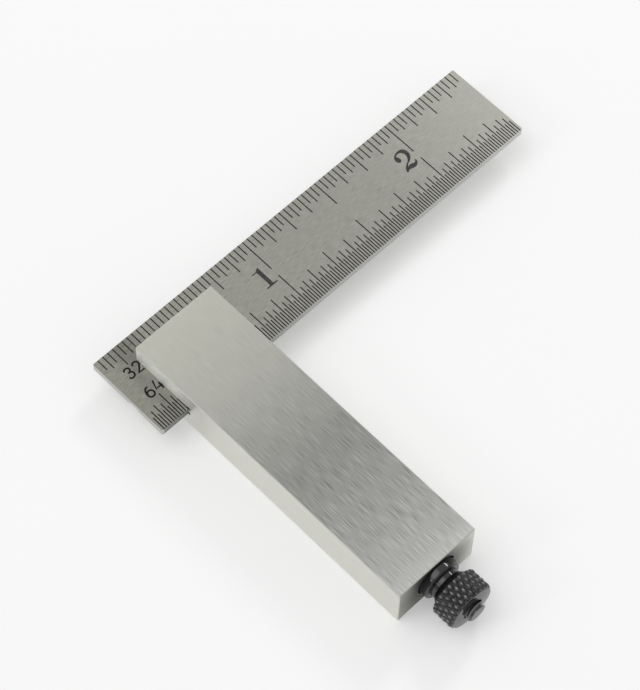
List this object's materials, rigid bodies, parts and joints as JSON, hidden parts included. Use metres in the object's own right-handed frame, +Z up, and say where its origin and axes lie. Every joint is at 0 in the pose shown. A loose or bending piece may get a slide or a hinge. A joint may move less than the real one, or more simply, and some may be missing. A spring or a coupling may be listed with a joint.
{
  "type": "double square",
  "caption": "Small machinist's double square: a graduated blade clamped across a rectangular head by an inner draw bolt and a knurled nut.",
  "frame": {"origin": "centre of the head's lower face, on the surface that the square lies on", "axes": "+X along the blade towards its longer end, +Y along the head from the knurled nut to the blade, +Z up through the thickness of the head"},
  "size_m": [0.0635, 0.0561, 0.0071],
  "materials": {
    "head_steel": "ground",
    "blade_steel": "satin",
    "black_bolt": "black oxide",
    "spring_steel": "drawn wire",
    "black_nut": "black oxide"
  },
  "bodies": {
    "head": {"head": "head_steel", "spring": "spring_steel"},
    "blade": {"blade": "blade_steel"},
    "lock_bolt": {"lock_bolt": "black_bolt"},
    "knurled_nut": {"knurled_nut": "black_nut"}
  },
  "joints": [
    {"name": "blade_slide", "type": "slide", "parent": "head", "child": "blade", "axis": [1, 0, 0], "range_m": [-0.04641, 0.00439]},
    {"name": "nut_turn", "type": "hinge", "parent": "head", "child": "knurled_nut", "pos_m": [0, -0.02302, 0.00357], "axis": [0, -1, 0], "range_deg": [0, 360]},
    {"name": "bolt_draw", "type": "slide", "parent": "head", "child": "lock_bolt", "axis": [0, 1, 0], "range_m": [0, 0.000635], "deforming": ["spring"]}
  ],
  "couplings": [
    {"joint": "nut_turn", "follows": "bolt_draw", "rad_per_m": 9894.7}
  ]
}
